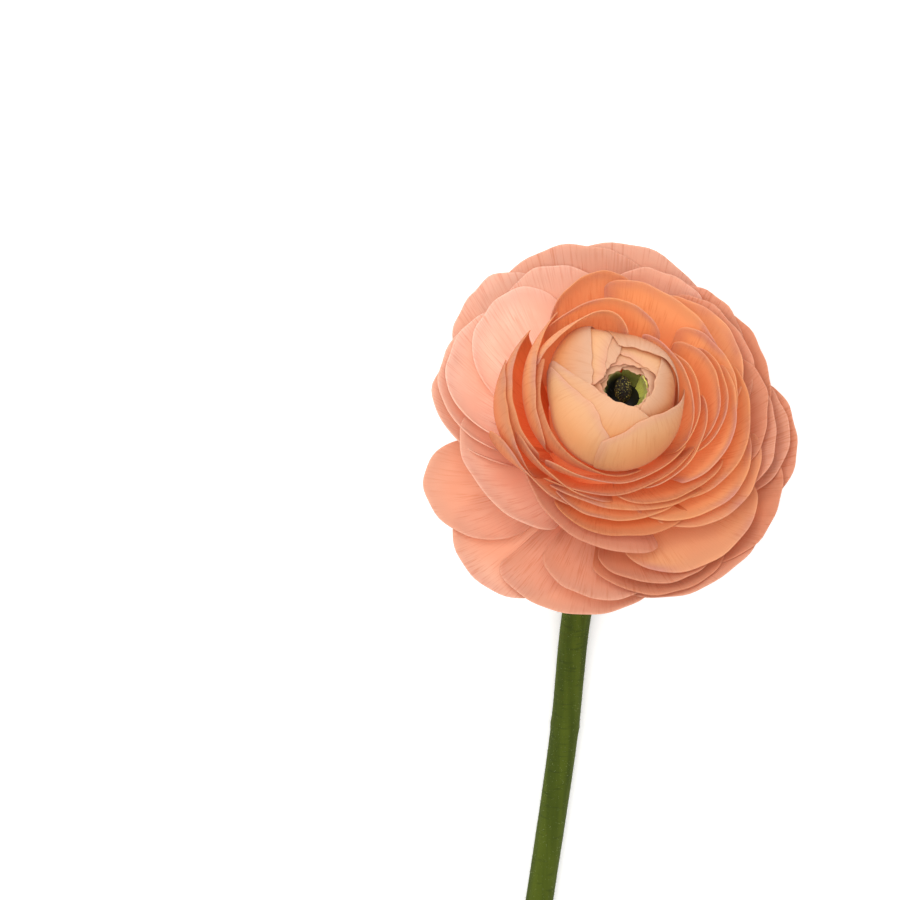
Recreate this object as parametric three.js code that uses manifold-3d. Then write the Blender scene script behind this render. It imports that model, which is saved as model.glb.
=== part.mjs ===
// A cut ranunculus flower, fully double, lying on a table.
// Millimetres, +Z up. The origin is where the lowest petal rests on the table.
// The stem lies along -Y. The bloom looks up and forward, along +Y and +Z.

import * as THREE from 'three';
import { mergeVertices } from 'three/addons/utils/BufferGeometryUtils.js';
import Module from 'manifold-3d';

const wasm = await Module();
wasm.setup();

// Driving dimensions
const BLOOM_RADIUS = 42.5;
const BLOOM_TILT = THREE.MathUtils.degToRad(38); // the bloom's axis above the table
const BASE = new THREE.Vector3(0, -30, 21.8); // the middle of the petals' base
const BALL_RADIUS = 15.2;
const BALL_HEIGHT = 20; // the ball's middle above the petals' base, along the axis
const EYE_RADIUS = 4.2;
const BLADE = 0.6; // thickness of a petal
const GAP = 0.3; // between pieces that lie on each other
const STEM_RADIUS = 3.2;
const STEM_END = -180; // where the cut end lies, along Y
const STEM_SIDES = 12;
const OUTER_PETALS = 16;
const MIDDLE_PETALS = 26;
const HEART_PETALS = 9;
const EYE_PETALS = 7;
const SEPALS = 5;
const GOLDEN_ANGLE = Math.PI * (3 - Math.sqrt(5));

const degrees = THREE.MathUtils.degToRad;
const lerp = THREE.MathUtils.lerp;

// One repeatable stream of random numbers from 0 to 1
function randomStream(seed) {
  let state = seed;
  return () => {
    state = (Math.imul(state, 1664525) + 1013904223) >>> 0;
    return state / 4294967296;
  };
}

// 1 at the centre angle, falling to 0 at either side of it
function bump(angle, centre, width) {
  const away = Math.atan2(Math.sin(angle - centre), Math.cos(angle - centre));
  return Math.exp(-((away / width) ** 2));
}

// The bloom's own frame: x to the side, y down towards the table in front, z along the axis
const SIDE = new THREE.Vector3(1, 0, 0);
const AXIS = new THREE.Vector3(0, Math.cos(BLOOM_TILT), Math.sin(BLOOM_TILT));
const DOWN = new THREE.Vector3().crossVectors(AXIS, SIDE);

function bloomPoint(radius, angle, height) {
  return BASE.clone()
    .addScaledVector(SIDE, radius * Math.cos(angle))
    .addScaledVector(DOWN, radius * Math.sin(angle))
    .addScaledVector(AXIS, height);
}

// A point of the curve that leaves the root, bends at the belly and ends at the rim
function curvePoint([root, belly, rim], along) {
  const a = (1 - along) ** 2;
  const b = 2 * along * (1 - along);
  const c = along ** 2;
  return [a * root[0] + b * belly[0] + c * rim[0], a * root[1] + b * belly[1] + c * rim[1]];
}

// How far the cup of middle petals reaches, which is least at the lower left of the face
function cupReach(angle) {
  return 31.5 - 9 * bump(angle, degrees(205), degrees(50)) + 7 * bump(angle, degrees(320), degrees(35));
}

// Each layer is a surface round the axis. Its depth runs from 0, the outermost, to 1, and
// layers of different depth never touch, so petals drawn on them lie in each other.
const layers = {
  sepal: (depth, angle, along) => curvePoint([[3.4, -2.6], [9.5, -5.2], [17.5, -4.5]], along),
  outer: (depth, angle, along) => {
    const rimHeight = 8 + 5 * Math.sin(angle) - 4 * bump(angle, degrees(205), degrees(35));
    const root = [4.5, lerp(-1, 1, depth)];
    const belly = [lerp(25, 22, depth), lerp(-7.5, -1, depth)];
    const innermost = Math.max(35, cupReach(angle) + 2.5);
    const rim = [lerp(BLOOM_RADIUS, innermost, depth), rimHeight + 4 * depth];
    return curvePoint([root, belly, rim], along);
  },
  middle: (depth, angle, along) => {
    const rimHeight = lerp(15 + 5 * Math.sin(angle), 23 + 6 * Math.sin(angle), depth);
    const root = [5, lerp(3.2, 7.4, depth)];
    const belly = [lerp(Math.min(25, cupReach(angle) + 1), 18, depth), lerp(0, 6.5, depth)];
    const rim = [lerp(cupReach(angle), BALL_RADIUS + 1.8, depth), rimHeight];
    return curvePoint([root, belly, rim], along);
  },
  heart: (depth, angle, along) => {
    const radius = BALL_RADIUS - 5 * depth;
    const fromTop = lerp(degrees(164), degrees(21), along);
    const flattening = fromTop > Math.PI / 2 ? 0.7 : 1;
    return [radius * Math.sin(fromTop), BALL_HEIGHT + radius * flattening * Math.cos(fromTop)];
  },
  eye: (depth, angle, along) => curvePoint([[2.6, 25.8], [4.1, 26.6], [2.9, 32.6]], along),
};

function mergedGeometry(positions, indices) {
  const geometry = new THREE.BufferGeometry();
  geometry.setAttribute('position', new THREE.Float32BufferAttribute(positions, 3));
  geometry.setIndex(indices);
  return geometry;
}

function toSolid(geometry) {
  const bare = geometry.clone();
  bare.deleteAttribute('normal');
  bare.deleteAttribute('uv');
  const merged = mergeVertices(bare, 1e-4);
  const mesh = new wasm.Mesh({
    numProp: 3,
    vertProperties: new Float32Array(merged.attributes.position.array),
    triVerts: new Uint32Array(merged.index.array),
  });
  mesh.merge();
  return new wasm.Manifold(mesh);
}

function toGeometry(solid) {
  const mesh = solid.getMesh();
  return mergedGeometry(Array.from(mesh.vertProperties), Array.from(mesh.triVerts));
}

// One solid from several, without the small pockets that crossing petals close off inside it
function join(solids) {
  const shells = solids.reduce((whole, next) => whole.add(next)).decompose();
  return shells.reduce((largest, next) => (next.volume() > largest.volume() ? next : largest));
}

// A round piece turned about the bloom's axis, from its half outline
function turned(outline, segments = 16) {
  const geometry = new THREE.LatheGeometry(outline.map(([r, h]) => new THREE.Vector2(r, h)), segments);
  geometry.rotateX(Math.PI / 2);
  const place = new THREE.Matrix4().makeBasis(SIDE, DOWN, AXIS);
  place.setPosition(BASE);
  geometry.applyMatrix4(place);
  return toSolid(geometry);
}

// One petal: a thin closed blade on its layer, narrow at the root and round at the tip
function petal(shape) {
  const { layer, depth, angle, halfWidth, waist, roundness, start, reach, lean, ruffle, phase } = shape;
  const across = shape.across ?? 5;
  const steps = shape.steps ?? 4;
  const middle = (u, v) => {
    const tip = reach * (1 - roundness + roundness * Math.sqrt(Math.max(0, 1 - u * u)));
    const along = lerp(start, tip, v);
    const spread = waist + (1 - waist) * Math.sin((Math.PI / 2) * Math.min(1, along / 0.55));
    const turn = angle + u * halfWidth * spread;
    const wave = ruffle * along ** 2 * Math.sin(3 * u + phase);
    const [radius, height] = layers[layer](depth + lean * u, turn, along);
    const point = bloomPoint(radius + wave, turn, height - wave);
    point.z = Math.max(point.z, shape.floor);
    return point;
  };
  const rows = [];
  const small = 0.01;
  for (let j = 0; j <= steps; j += 1) {
    for (let i = 0; i <= across; i += 1) {
      const even = (2 * i) / across - 1;
      const u = lerp(even, Math.sin((Math.PI / 2) * even), 0.5);
      const v = j / steps;
      const sideways = middle(u + small, v).sub(middle(u - small, v));
      const upwards = middle(u, v + small).sub(middle(u, v - small));
      const normal = sideways.cross(upwards).normalize();
      rows.push([middle(u, v), normal]);
    }
  }
  const count = rows.length;
  const positions = [];
  for (const face of [0.5, -0.5]) {
    for (const [point, normal] of rows) {
      const corner = point.clone().addScaledVector(normal, face * BLADE);
      positions.push(corner.x, corner.y, Math.max(corner.z, 0));
    }
  }
  const indices = [];
  const quad = (a, b, c, d) => indices.push(a, b, c, a, c, d);
  const at = (i, j) => j * (across + 1) + i;
  for (let j = 0; j < steps; j += 1) {
    for (let i = 0; i < across; i += 1) {
      const [a, b, c, d] = [at(i, j), at(i + 1, j), at(i + 1, j + 1), at(i, j + 1)];
      quad(a, b, c, d);
      indices.push(count + a, count + c, count + b, count + a, count + d, count + c);
    }
  }
  const border = [];
  for (let i = 0; i < across; i += 1) border.push(at(i, 0));
  for (let j = 0; j < steps; j += 1) border.push(at(across, j));
  for (let i = across; i > 0; i -= 1) border.push(at(i, steps));
  for (let j = steps; j > 0; j -= 1) border.push(at(0, j));
  border.forEach((here, k) => {
    const next = border[(k + 1) % border.length];
    quad(next, here, count + here, count + next);
  });
  return toSolid(mergedGeometry(positions, indices));
}

function rosette(count, seed, shapeOf) {
  const random = randomStream(seed);
  const petals = [];
  for (let i = 0; i < count; i += 1) petals.push(petal(shapeOf(i, (i + 0.5) / count, random)));
  return petals;
}

const outerPetals = join([
  turned([[0, -1.6], [5, -1.6], [9, -2.6], [12, -2.4], [12.5, -0.8], [9, 0.9], [6.5, 2], [0, 2]]),
  ...rosette(OUTER_PETALS, 11, (i, depth, random) => ({
    layer: 'outer',
    depth,
    angle: degrees(90) + i * GOLDEN_ANGLE,
    halfWidth: degrees(29 + 4 * random()),
    waist: 0.6,
    roundness: 0.26 + 0.06 * random(),
    start: 0.12,
    reach: 0.96 + 0.04 * random(),
    lean: i === 0 ? 0 : 0.04,
    ruffle: i === 0 ? 0 : 0.3,
    phase: 6 * random(),
    floor: BLADE / 2 + (BLADE + GAP) * i * 0.2,
    across: i === 0 ? 8 : 5,
    steps: i === 0 ? 6 : 4,
  })),
]);

const middlePetals = join([
  turned([[0, 2.3], [7, 2.3], [11, 3.2], [14.6, 6], [16.2, 10], [16.2, 12.5], [13.6, 13.4], [10, 10.8], [6, 8.5],
    [0, 8.2]], 20),
  ...rosette(MIDDLE_PETALS, 23, (i, depth, random) => ({
    layer: 'middle',
    depth,
    angle: degrees(40) + i * GOLDEN_ANGLE,
    halfWidth: degrees(lerp(30, 44, depth) + 4 * random()),
    waist: 0.55,
    roundness: 0.32 + 0.08 * random(),
    start: lerp(0.2, 0.35, depth),
    reach: 0.95 + 0.05 * random(),
    lean: 0.02,
    ruffle: 0.15,
    phase: 6 * random(),
    floor: 4,
  })),
]);

const heartPetals = join([
  turned([[0, 8.5], [5.4, 8.5], [6.4, 12.5], [9.6, 16], [10.2, 20], [9.2, 24.5], [6.6, 28], [EYE_RADIUS + 0.4, 29.2],
    [EYE_RADIUS, 25.2], [0, 25.2]], 20),
  ...rosette(HEART_PETALS, 37, (i, depth, random) => ({
    layer: 'heart',
    depth,
    angle: degrees(250) + i * GOLDEN_ANGLE,
    halfWidth: degrees(58 + 4 * random()),
    waist: 0.6,
    roundness: 0.4,
    start: 0,
    reach: 0.93 + 0.05 * random(),
    lean: 0,
    ruffle: 0,
    phase: 0,
    floor: 4,
  })),
]);

const eyePetals = join([
  turned([[0, 25.5], [3.7, 25.5], [3.7, 26.4], [0, 26.4]], 12),
  ...rosette(EYE_PETALS, 41, (i, depth, random) => ({
    layer: 'eye',
    depth,
    angle: i * ((2 * Math.PI) / EYE_PETALS),
    halfWidth: degrees(23),
    waist: 0.8,
    roundness: 0.3,
    start: 0,
    reach: 0.85 + 0.15 * random(),
    lean: 0,
    ruffle: 0,
    phase: 0,
    floor: 4,
    across: 2,
    steps: 2,
  })),
]);

const carpelHead = turned([[0, 26.7], [1.9, 26.7], [2.4, 28.2], [2.2, 29.8], [1.3, 31], [0, 31.4]], 12);

const calyx = join([
  turned([[0, -3.4], [4.2, -3.4], [4.6, -2.6], [4.2, -1.9], [0, -1.9]]),
  ...rosette(SEPALS, 53, (i, depth, random) => ({
    layer: 'sepal',
    depth,
    angle: degrees(54) + i * degrees(72),
    halfWidth: degrees(17),
    waist: 1.8,
    roundness: 0.45,
    start: 0,
    reach: 0.9 + 0.1 * random(),
    lean: 0,
    ruffle: 0,
    phase: 0,
    floor: 4,
    across: 4,
    steps: 3,
  })),
]);

// The stem's centre line, from the receptacle down to the table and along it
const STEM_TOP = 3.7; // along the axis, below the petals' base
const STEM_REST = STEM_RADIUS * Math.cos(Math.PI / STEM_SIDES); // its centre's height where it lies flat
const stemCurve = new THREE.CatmullRomCurve3([
  bloomPoint(0, 0, -STEM_TOP),
  bloomPoint(0, 0, -STEM_TOP - 6),
  new THREE.Vector3(-1.6, -50, 9.4),
  new THREE.Vector3(-4.2, -64, 4.6),
  new THREE.Vector3(-7, -79, STEM_REST),
  new THREE.Vector3(-9.3, -110, STEM_REST),
  new THREE.Vector3(-13, -145, STEM_REST),
  new THREE.Vector3(-17, STEM_END, STEM_REST),
], false, 'centripetal');

function stemGeometry() {
  const sides = STEM_SIDES;
  const steps = 22;
  const positions = [];
  const indices = [];
  for (let j = 0; j <= steps; j += 1) {
    const along = j / steps;
    const centre = stemCurve.getPointAt(along);
    const tangent = stemCurve.getTangentAt(along);
    const side = new THREE.Vector3(0, 0, 1).cross(tangent).normalize();
    const up = new THREE.Vector3().crossVectors(tangent, side);
    const radius = STEM_RADIUS * (1 + 0.25 * Math.exp(-along * 60) + 0.04 * Math.exp(-(((along - 0.52) / 0.02) ** 2)));
    for (let i = 0; i < sides; i += 1) {
      const turn = ((i + 0.5) / sides) * 2 * Math.PI;
      const corner = centre.clone();
      corner.addScaledVector(side, radius * Math.cos(turn)).addScaledVector(up, radius * Math.sin(turn));
      positions.push(corner.x, corner.y, Math.max(corner.z, 0));
    }
  }
  const ring = (j, i) => j * sides + (i % sides);
  for (let j = 0; j < steps; j += 1) {
    for (let i = 0; i < sides; i += 1) {
      indices.push(ring(j, i), ring(j, i + 1), ring(j + 1, i + 1), ring(j, i), ring(j + 1, i + 1), ring(j + 1, i));
    }
  }
  for (let i = 1; i < sides - 1; i += 1) {
    indices.push(0, ring(0, i + 1), ring(0, i));
    indices.push(ring(steps, 0), ring(steps, i), ring(steps, i + 1));
  }
  return mergedGeometry(positions, indices);
}

function piece(name, geometry, color, roughness) {
  const mesh = new THREE.Mesh(geometry, new THREE.MeshStandardMaterial({ color, roughness, metalness: 0 }));
  mesh.name = name;
  return mesh;
}

const flower = new THREE.Group();
flower.add(
  piece('stem', stemGeometry(), 0x55692a, 0.6),
  piece('calyx', toGeometry(calyx), 0x8a9a4c, 0.7),
  piece('outer_petals', toGeometry(outerPetals), 0xeea57c, 0.6),
  piece('middle_petals', toGeometry(middlePetals), 0xea8a54, 0.6),
  piece('heart_petals', toGeometry(heartPetals), 0xf4be92, 0.6),
  piece('eye_petals', toGeometry(eyePetals), 0xb9b95a, 0.6),
  piece('carpel_head', toGeometry(carpelHead), 0x2e2a16, 0.8),
);

export default flower;
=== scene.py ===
import math

import bmesh
import bpy
import numpy as np
from mathutils import Matrix, Vector


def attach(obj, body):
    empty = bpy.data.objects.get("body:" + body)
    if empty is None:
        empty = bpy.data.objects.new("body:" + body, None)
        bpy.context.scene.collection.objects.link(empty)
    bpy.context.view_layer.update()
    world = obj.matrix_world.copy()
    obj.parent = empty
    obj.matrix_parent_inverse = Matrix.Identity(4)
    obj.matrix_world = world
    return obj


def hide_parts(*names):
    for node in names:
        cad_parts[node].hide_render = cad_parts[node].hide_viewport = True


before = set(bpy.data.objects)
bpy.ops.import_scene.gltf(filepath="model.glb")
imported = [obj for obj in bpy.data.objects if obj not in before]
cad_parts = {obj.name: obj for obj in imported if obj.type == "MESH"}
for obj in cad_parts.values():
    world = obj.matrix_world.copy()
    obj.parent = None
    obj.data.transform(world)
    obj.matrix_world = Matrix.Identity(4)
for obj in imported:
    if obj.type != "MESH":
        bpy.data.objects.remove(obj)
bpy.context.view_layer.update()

# Stage
# A plain white table and a large soft light from the upper left, with a weak one opposite.
# The camera stands above the face of the bloom, 27 degrees off its axis, as in the photograph.

MM = 0.001
PICTURE = 900
BLOOM_PIXEL = (610, 430)
MM_PER_PIXEL = 0.2139
CAMERA_DISTANCE = 0.8
BLOOM_TILT = math.radians(38)
# The foot of the petals, in mm, and three directions from it. Seen by the camera, SIDE is to the
# right and DOWN, which is towards the table, is up. Angles in the bloom turn from SIDE to DOWN.
BASE = np.array([0.0, -30.0, 21.8])
SIDE = np.array([1.0, 0.0, 0.0])
AXIS = np.array([0.0, math.cos(BLOOM_TILT), math.sin(BLOOM_TILT)])
DOWN = np.cross(AXIS, SIDE)
CAMERA_OFF_AXIS = math.radians(27)
# Height above BASE of the place that the camera's aim is worked out from
RIM_HEIGHT = 10
AMBIENT = 0.72
# The table's half side, in metres
TABLE_HALF = 3
TABLE_DROP = 0.1 * MM
TABLE_GLOW = 0.2


def place_by_axes(thing, right, up, back, location):
    turn = Matrix((right, up, back)).transposed().to_4x4()
    thing.matrix_world = Matrix.Translation(location) @ turn


view_back = Vector(AXIS * math.cos(CAMERA_OFF_AXIS) - DOWN * math.sin(CAMERA_OFF_AXIS))
view_up = Vector(AXIS * math.sin(CAMERA_OFF_AXIS) + DOWN * math.cos(CAMERA_OFF_AXIS))
view_right = view_up.cross(view_back)
bloom_middle = Vector((BASE + RIM_HEIGHT * AXIS) * MM)
pixel = MM_PER_PIXEL * MM
aim = bloom_middle - view_right * (BLOOM_PIXEL[0] - PICTURE / 2) * pixel
aim -= view_up * (PICTURE / 2 - BLOOM_PIXEL[1]) * pixel
camera = bpy.data.objects.new("camera", bpy.data.cameras.new("camera"))
bpy.context.scene.collection.objects.link(camera)
camera.data.sensor_width = 36
camera.data.lens = camera.data.sensor_width * CAMERA_DISTANCE / (PICTURE * pixel)
place_by_axes(camera, view_right, view_up, view_back, aim + view_back * CAMERA_DISTANCE)
bpy.context.scene.camera = camera
bpy.context.scene.view_settings.view_transform = "Standard"


def soft_light(name, toward, distance, size, power, color):
    light = bpy.data.lights.new(name, "AREA")
    light.shape = "DISK"
    light.size = size
    light.energy = power
    light.color = color
    lamp = bpy.data.objects.new(name, light)
    bpy.context.scene.collection.objects.link(lamp)
    direction = Vector(toward).normalized()
    turn = direction.to_track_quat("Z", "Y").to_matrix().to_4x4()
    lamp.matrix_world = Matrix.Translation(direction * distance + bloom_middle) @ turn


soft_light("key_light", (-0.3, 0.72, 0.95), 0.9, 0.9, 8.3, (1.0, 0.985, 0.96))
soft_light("fill_light", (0.6, 0.2, 1.0), 1.0, 0.9, 1.5, (1.0, 0.99, 0.98))

world = bpy.data.worlds.new("studio")
world.use_nodes = True
world.node_tree.nodes["Background"].inputs["Color"].default_value = (1, 1, 1, 1)
world.node_tree.nodes["Background"].inputs["Strength"].default_value = AMBIENT
bpy.context.scene.world = world


def plain_material(name, color, roughness, glow):
    material = bpy.data.materials.new(name)
    material.use_nodes = True
    shader = material.node_tree.nodes["Principled BSDF"]
    shader.inputs["Base Color"].default_value = (*color, 1)
    shader.inputs["Roughness"].default_value = roughness
    shader.inputs["Emission Color"].default_value = (1, 1, 1, 1)
    shader.inputs["Emission Strength"].default_value = glow
    return material


floor_mesh = bpy.data.meshes.new("table")
table_corners = [(x * TABLE_HALF, y * TABLE_HALF, 0) for x, y in ((-1, -1), (1, -1), (1, 1), (-1, 1))]
floor_mesh.from_pydata(table_corners, [], [(0, 1, 2, 3)])
floor = bpy.data.objects.new("table", floor_mesh)
bpy.context.scene.collection.objects.link(floor)
floor_mesh.transform(Matrix.Translation((0, 0, -TABLE_DROP)))
floor_mesh.materials.append(plain_material("white_table", (0.95, 0.95, 0.95), 0.8, TABLE_GLOW))

# Outer petals
# Broad thin petals, soft and moist, spread like a saucer under the rest of the bloom. Each has grown
# from the receptacle, the fleshy base in the middle, and lies over the edges of the ones outside it.

PETAL_THICKNESS = 0.26
# A petal's rough length, and the least reach it is taken to have, to work out how far from its rim
# a point lies
PETAL_LENGTH = 28
LEAST_REACH = 9
# Along a petal, from 0 at its foot to 1 at its tip: where it reaches its full width, and where its
# rim starts to roll
FULL_WIDTH = 0.55
ROLL_START = 0.8
# The higher it is, the squarer the tip
TIP_POWER = 2.2
# The part of a petal over which it thins towards its rim, and how thin the rim gets
EDGE = 0.006
THIN_RIM = 0.35
# How far a petal slides away from the stem for each millimetre that the table lifts it
TABLE_SLIDE = 0.8


def mix(a, b, t):
    return a + (b - a) * t


def around(values, angle):
    """A smooth value round the bloom, from values at even steps."""
    count = len(values)
    place = (np.asarray(angle) / (2 * math.pi / count)) % count
    low = np.floor(place).astype(int)
    t = place - low
    ring = np.array(values, dtype=float)
    p0, p1, p2, p3 = (ring[(low + k) % count] for k in (-1, 0, 1, 2))
    return p1 + 0.5 * t * (p2 - p0 + t * (2 * p0 - 5 * p1 + 4 * p2 - p3 + t * (3 * (p1 - p2) + p3 - p0)))


def bloom_point(radius, angle, height):
    radius, angle, height = np.broadcast_arrays(radius, angle, height)
    return (BASE + (radius * np.cos(angle))[..., None] * SIDE
            + (radius * np.sin(angle))[..., None] * DOWN + height[..., None] * AXIS)


def curve_point(root, belly, rim, along):
    a = (1 - along) ** 2
    b = 2 * along * (1 - along)
    c = along ** 2
    return (a * root[0] + b * belly[0] + c * rim[0], a * root[1] + b * belly[1] + c * rim[1])


# Height of the rims above BASE, at four radii, at even steps of the angle
CANOPY_RADII = (16, 24, 32, 40)
CANOPY = (
    (23, 28, 31.5, 28, 23.5, 20.5, 17, 19),
    (20, 24.5, 28.5, 22.5, 20.5, 15.5, 13.8, 16.5),
    (15.5, 19.5, 23.5, 15.5, 12.5, 4.5, 11.8, 13.5),
    (10, 13, 15, 12, 8, 1.5, 6, 8.5),
)


def canopy(radius, angle):
    """Height of the rims, in straight steps from radius to radius."""
    rows = [around(row, angle) for row in CANOPY]
    height = rows[0]
    for i, start in enumerate(CANOPY_RADII[:-1]):
        span = CANOPY_RADII[i + 1] - start
        last = i == len(CANOPY_RADII) - 2
        part = np.clip((radius - start) / span, 0 if i else -0.5, 1.8 if last else 1)
        height = height + part * (rows[i + 1] - rows[i])
    return height


def outer_layer(depth, reach, angle, along):
    root = (4.5, mix(-1, 1, depth))
    belly = (mix(0.62, 0.6, depth) * reach, mix(-9, 0, depth))
    return curve_point(root, belly, (reach, canopy(reach, angle)), along)


def layer_point(place, turn, wave=0.0):
    """A layer gives radius and height, or, for the ball, distance to the right, downwards and height."""
    if len(place) == 2:
        return bloom_point(place[0] + wave, turn, place[1] - wave)
    right = place[0] + wave * np.cos(turn)
    downwards = place[1] + wave * np.sin(turn)
    return BASE + right[..., None] * SIDE + downwards[..., None] * DOWN + place[2][..., None] * AXIS


def reach_of_rim(layer, depth, reaches, angle):
    middle = np.atleast_1d(reaches[len(reaches) // 2])
    point = layer_point(layer(depth, middle, np.atleast_1d(angle), np.ones(1)), np.atleast_1d(angle))
    off = point - BASE
    return float(np.hypot(off @ SIDE, off @ DOWN)[0])


def petal_blade(layer, depth, angle, half_width, reaches, end=0.8, waist=0.6, start=0.12,
                ruffle=0.2, roll=0.0, phase=0.0, floor_height=0.2, across=36, steps=26,
                thickness=PETAL_THICKNESS, tint=0.5, blush=0.0):
    """One petal. Its rim lies at the reaches, spread evenly from its first side to its other side.

    Its marks, which the materials read, are the way across and along it, how blushed it is, a tint
    and the distance from its rim. The tint is a tone of the petal's own, on the outer petals mostly
    painted light.
    """
    rim_curve = np.polyfit(np.linspace(-1, 1, len(reaches)), reaches, len(reaches) - 1)
    angle = math.radians(angle)
    half_width = math.radians(half_width)

    def middle(u, v):
        tip = end + (1 - end) * np.sqrt(np.maximum(0, 1 - np.abs(u) ** TIP_POWER))
        tip = tip * (1 + 0.006 * np.sin(6 * u + phase) + 0.004 * np.sin(15 * u + 2 * phase))
        along = mix(start, tip, v)
        spread = waist + (1 - waist) * np.sin(math.pi / 2 * np.minimum(1, along / FULL_WIDTH))
        turn = angle + u * half_width * spread
        # One slow wave across the petal, and a finer one that grows only near the rim
        wave = ruffle * along ** 2 * np.sin(3 * u + phase)
        wave = wave + 0.22 * along ** 5 * np.sin(9 * u + 5 * phase) * ruffle / 0.3
        wave = wave + roll * np.maximum(0, (v - ROLL_START) / (1 - ROLL_START)) ** 2
        reach = np.polyval(rim_curve, np.clip((turn - angle) / half_width, -1, 1))
        point = layer_point(layer(depth, reach, turn, along), turn, wave)
        below = np.maximum(0, floor_height - point[..., 2])
        point[..., 1] += TABLE_SLIDE * below
        point[..., 2] += below
        return point, along

    even = np.linspace(-1, 1, across + 1)
    line = mix(even, np.sin(math.pi / 2 * even), 0.7)
    line = np.concatenate([[-1], [-1 + EDGE], line[1:-1], [1 - EDGE], [1]])
    rise = np.concatenate([np.linspace(0, 1 - EDGE, steps), [1]])
    u, v = np.meshgrid(line, rise)
    small = 0.002
    point, along = middle(u, v)
    sideways = middle(u + small, v)[0] - middle(u - small, v)[0]
    upwards = middle(u, v + small)[0] - middle(u, v - small)[0]
    normal = np.cross(sideways, upwards)
    normal /= np.linalg.norm(normal, axis=-1, keepdims=True) + 1e-12
    rim = np.minimum(1, np.minimum((1 - np.abs(u)) / EDGE, (1 - v) / EDGE))
    half = (thickness / 2 * mix(THIN_RIM, 1, rim))[..., None]
    rows, columns = u.shape
    count = rows * columns
    sides = [(point + normal * half).reshape(-1, 3), (point - normal * half).reshape(-1, 3)]
    corners = np.concatenate(sides)
    corners[:, 2] = np.maximum(corners[:, 2], 0)
    index = np.arange(count).reshape(rows, columns)
    a, b = index[:-1, :-1].ravel(), index[:-1, 1:].ravel()
    c, d = index[1:, 1:].ravel(), index[1:, :-1].ravel()
    faces = [np.stack([a, b, c, d], 1), np.stack([a, d, c, b], 1) + count]
    border = np.concatenate([index[0, :-1], index[:-1, -1], index[-1, :0:-1], index[:0:-1, 0]])
    after = np.roll(border, -1)
    faces.append(np.stack([after, border, border + count, after + count], 1))
    width = half_width * max(reach_of_rim(layer, depth, reaches, angle), LEAST_REACH)
    from_side = (1 - np.abs(u)) * width
    from_tip = (1 - v) * PETAL_LENGTH
    marks = {
        "across": np.tile((u * width).ravel(), 2),
        "along": np.tile(along.ravel(), 2),
        "blush": np.full(2 * count, blush),
        "tint": np.full(2 * count, tint),
        "rim": np.tile(np.minimum(from_side, from_tip).ravel(), 2),
    }
    return corners, np.concatenate(faces), marks


def turned_core(profile, offset=(0, 0), around_steps=36):
    """The fleshy base the petals grow from, turned from a profile of radius and height."""
    angles = np.linspace(0, 2 * math.pi, around_steps, endpoint=False)
    radius, height = np.array(profile, dtype=float).T
    middle = radius[1:-1]
    rings = bloom_point(middle[:, None], angles[None, :], height[1:-1, None])
    corners = np.concatenate([rings.reshape(-1, 3), bloom_point(0.0, 0.0, height[[0, -1]])])
    corners += offset[0] * SIDE + offset[1] * DOWN
    bottom = len(corners) - 2
    faces = []
    for j in range(around_steps):
        k = (j + 1) % around_steps
        faces.append((bottom, k, j, j))
        for i in range(len(middle) - 1):
            a = i * around_steps
            faces.append((a + j, a + k, a + around_steps + k, a + around_steps + j))
        a = (len(middle) - 1) * around_steps
        faces.append((a + j, a + k, bottom + 1, bottom + 1))
    count = len(corners)
    marks = {
        "across": np.zeros(count),
        "along": np.full(count, 0.3),
        "blush": np.zeros(count),
        "tint": np.full(count, 0.5),
        "rim": np.full(count, 5.0),
    }
    return corners, np.array(faces), marks


def rosette(name, blades):
    """Joins petals and their base into one piece that keeps their marks."""
    corners, faces, marks, offset = [], [], {}, 0
    for blade_corners, blade_faces, blade_marks in blades:
        corners.append(blade_corners)
        faces.append(blade_faces + offset)
        offset += len(blade_corners)
        for key, values in blade_marks.items():
            marks.setdefault(key, []).append(values)
    mesh = bpy.data.meshes.new(name)
    outlines = [list(dict.fromkeys(face)) for face in np.concatenate(faces).tolist()]
    mesh.from_pydata((np.concatenate(corners) * MM).tolist(), [], outlines)
    mesh.update()
    for key, values in marks.items():
        layer = mesh.attributes.new("petal_" + key, "FLOAT", "POINT")
        layer.data.foreach_set("value", np.concatenate(values).astype(np.float32))
    mesh.polygons.foreach_set("use_smooth", np.ones(len(mesh.polygons), dtype=bool))
    piece = bpy.data.objects.new(name, mesh)
    bpy.context.scene.collection.objects.link(piece)
    return piece


def paint(red, green, blue):
    """A picture colour, 0 to 255, as the linear colour a shader takes."""
    parts = [value / 255 for value in (red, green, blue)]
    return tuple(p / 12.92 if p <= 0.04045 else ((p + 0.055) / 1.055) ** 2.4 for p in parts) + (1,)


def add_node(tree, kind, settings=(), **inputs):
    """A node with its settings and its inputs. An input is a socket to read or a plain value."""
    node = tree.nodes.new(kind)
    for key, value in dict(settings).items():
        setattr(node, key, value)
    for key, value in inputs.items():
        socket = node.inputs[int(key[1:])] if key[1:].isdigit() else node.inputs[key.replace("_", " ")]
        if isinstance(value, bpy.types.NodeSocket):
            tree.links.new(value, socket)
        else:
            socket.default_value = value
    return node


def petal_mark(tree, key):
    return add_node(tree, "ShaderNodeAttribute", {"attribute_name": "petal_" + key}).outputs["Fac"]


def smooth_step(tree, value, low, high):
    settings = {"interpolation_type": "SMOOTHSTEP"}
    step = add_node(tree, "ShaderNodeMapRange", settings, Value=value, From_Min=low, From_Max=high)
    return step.outputs[0]


def math_node(tree, operation, first, second):
    return add_node(tree, "ShaderNodeMath", {"operation": operation}, _0=first, _1=second).outputs[0]


def mix_color(tree, factor, first, second, blend="MIX"):
    # sockets 6 and 7 of a colour mix are its two colours, and its third output is the result
    settings = {"data_type": "RGBA", "blend_type": blend}
    return add_node(tree, "ShaderNodeMix", settings, _0=factor, _6=first, _7=second).outputs[2]


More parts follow.
